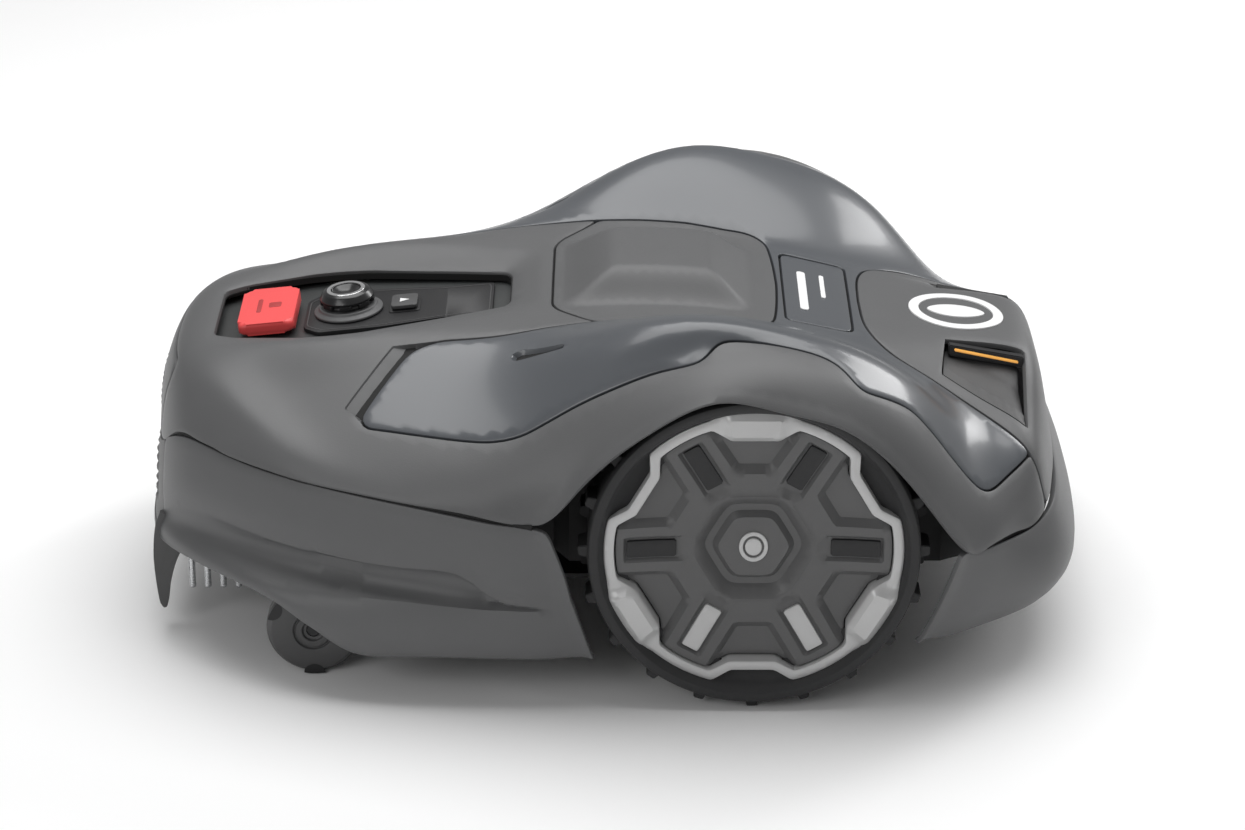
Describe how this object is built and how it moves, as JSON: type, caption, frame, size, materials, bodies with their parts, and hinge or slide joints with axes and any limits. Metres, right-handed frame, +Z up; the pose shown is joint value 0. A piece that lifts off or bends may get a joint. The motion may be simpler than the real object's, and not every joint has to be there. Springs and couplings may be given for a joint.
{
  "type": "robotic lawn mower",
  "caption": "Robotic lawn mower: floating covers over a chassis, lugged drive wheels, swivel casters, blade disc on a height slide, and a console with stop button and dial.",
  "frame": {"origin": "on the ground, under the centre of the bounding box", "axes": "+Z up, +X towards the tail, so the nose points to -X; +Y is the machine's right side"},
  "size_m": [0.5927, 0.4212, 0.2345],
  "materials": {
    "cover": "fine matte grain, dark grey",
    "gloss_cover": "smooth blue-grey gloss",
    "chassis_plastic": "black moulded plastic",
    "console_gloss": "polished black",
    "rubber": "matt black rubber",
    "silver": "satin silver paint",
    "stop_red": "satin red",
    "badge_white": "white",
    "amber_lens": "amber lens",
    "steel": "bare steel",
    "motor_case": "black coated steel",
    "battery_case": "dark grey wrap",
    "circuit_board": "green solder resist"
  },
  "bodies": {
    "chassis": {"chassis_pan": "chassis_plastic", "bottom_cover": "chassis_plastic", "chassis_cover": "chassis_plastic", "console_insert": "console_gloss", "dial_base": "console_gloss", "battery_pack": "battery_case", "main_board": "circuit_board", "left_wheel_motor": "motor_case", "right_wheel_motor": "motor_case", "height_motor": "motor_case"},
    "float": {"float_frame": "chassis_plastic"},
    "covers": {"top_shell": "cover", "front_bumper": "cover", "rear_bumper": "cover", "fender_cover": "gloss_cover", "module_cover": "cover", "label_plate": "gloss_cover", "rear_cover": "cover", "rear_emblem": "badge_white", "left_marker_light": "chassis_plastic", "right_marker_light": "chassis_plastic", "left_lamp_bar": "amber_lens", "right_lamp_bar": "amber_lens", "nose_plate": "cover", "nose_insert": "chassis_plastic", "left_comb_guard": "steel", "right_comb_guard": "steel", "front_left_post": "rubber", "front_right_post": "rubber", "rear_left_post": "rubber", "rear_right_post": "rubber"},
    "left_wheel": {"left_tyre": "rubber", "left_rim": "chassis_plastic", "left_rim_trim": "silver", "left_hub_cap": "cover"},
    "right_wheel": {"right_tyre": "rubber", "right_rim": "chassis_plastic", "right_rim_trim": "silver", "right_hub_cap": "cover"},
    "left_caster": {"left_caster_fork": "chassis_plastic"},
    "left_caster_roller": {"left_caster_wheel": "rubber"},
    "right_caster": {"right_caster_fork": "chassis_plastic"},
    "right_caster_roller": {"right_caster_wheel": "rubber"},
    "carriage": {"cutter_carriage": "chassis_plastic", "cutter_motor": "motor_case"},
    "height_screw": {"height_screw": "steel"},
    "disc": {"blade_disc": "cover", "blade_screw_1": "steel", "blade_screw_2": "steel", "blade_screw_3": "steel"},
    "skid": {"skid_plate": "cover"},
    "blade_1": {"blade_1": "steel"},
    "blade_2": {"blade_2": "steel"},
    "blade_3": {"blade_3": "steel"},
    "stop": {"stop_button": "stop_red"},
    "dial": {"jog_dial": "console_gloss"},
    "dial_push": {"dial_button": "console_gloss"},
    "start": {"start_button": "console_gloss"}
  },
  "joints": [
    {"name": "cover_float", "type": "slide", "parent": "chassis", "child": "float", "axis": [1, 0, 0], "range_m": [-0.003, 0.003], "stiffness_N_per_m": 4000},
    {"name": "cover_lift", "type": "slide", "parent": "float", "child": "covers", "axis": [0, 0, 1], "range_m": [0, 0.008]},
    {"name": "left_wheel_spin", "type": "hinge", "parent": "chassis", "child": "left_wheel", "pos_m": [0.086, -0.178, 0.106], "axis": [0, 1, 0], "continuous": true},
    {"name": "right_wheel_spin", "type": "hinge", "parent": "chassis", "child": "right_wheel", "pos_m": [0.086, 0.178, 0.106], "axis": [0, 1, 0], "continuous": true},
    {"name": "left_caster_swivel", "type": "hinge", "parent": "chassis", "child": "left_caster", "pos_m": [-0.199, -0.143, 0.0655], "axis": [0, 0, 1], "continuous": true},
    {"name": "left_caster_roll", "type": "hinge", "parent": "left_caster", "child": "left_caster_roller", "pos_m": [-0.185, -0.143, 0.0295], "axis": [0, 1, 0], "continuous": true},
    {"name": "right_caster_swivel", "type": "hinge", "parent": "chassis", "child": "right_caster", "pos_m": [-0.199, 0.143, 0.0655], "axis": [0, 0, 1], "continuous": true},
    {"name": "right_caster_roll", "type": "hinge", "parent": "right_caster", "child": "right_caster_roller", "pos_m": [-0.185, 0.143, 0.0295], "axis": [0, 1, 0], "continuous": true},
    {"name": "cutting_height", "type": "slide", "parent": "chassis", "child": "carriage", "axis": [0, 0, 1], "range_m": [0, 0.03]},
    {"name": "height_screw_turn", "type": "hinge", "parent": "chassis", "child": "height_screw", "pos_m": [0.03, 0, 0.1], "axis": [0, 0, 1], "continuous": true},
    {"name": "disc_spin", "type": "hinge", "parent": "carriage", "child": "disc", "pos_m": [-0.026, 0, 0.03], "axis": [0, 0, 1], "continuous": true},
    {"name": "skid_spin", "type": "hinge", "parent": "disc", "child": "skid", "pos_m": [-0.026, 0, 0.019], "axis": [0, 0, 1], "continuous": true},
    {"name": "blade_1_pivot", "type": "hinge", "parent": "disc", "child": "blade_1", "pos_m": [-0.026, 0.069, 0.0269], "axis": [0, 0, 1], "continuous": true},
    {"name": "blade_2_pivot", "type": "hinge", "parent": "disc", "child": "blade_2", "pos_m": [-0.08576, -0.0345, 0.0269], "axis": [0, 0, 1], "continuous": true},
    {"name": "blade_3_pivot", "type": "hinge", "parent": "disc", "child": "blade_3", "pos_m": [0.03376, -0.0345, 0.0269], "axis": [0, 0, 1], "continuous": true},
    {"name": "stop_press", "type": "slide", "parent": "chassis", "child": "stop", "axis": [0.1025, 0, -0.9947], "range_m": [0, 0.003], "stiffness_N_per_m": 900},
    {"name": "dial_turn", "type": "hinge", "parent": "chassis", "child": "dial", "pos_m": [-0.1684, 0, 0.179], "axis": [-0.1025, 0, 0.9947], "continuous": true},
    {"name": "dial_press", "type": "slide", "parent": "dial", "child": "dial_push", "axis": [0.1025, 0, -0.9947], "range_m": [0, 0.0012], "stiffness_N_per_m": 1200},
    {"name": "start_press", "type": "slide", "parent": "chassis", "child": "start", "axis": [0.1025, 0, -0.9947], "range_m": [0, 0.001], "stiffness_N_per_m": 1200}
  ],
  "couplings": [
    {"joint": "height_screw_turn", "follows": "cutting_height", "rad_per_m": 2094.4}
  ]
}
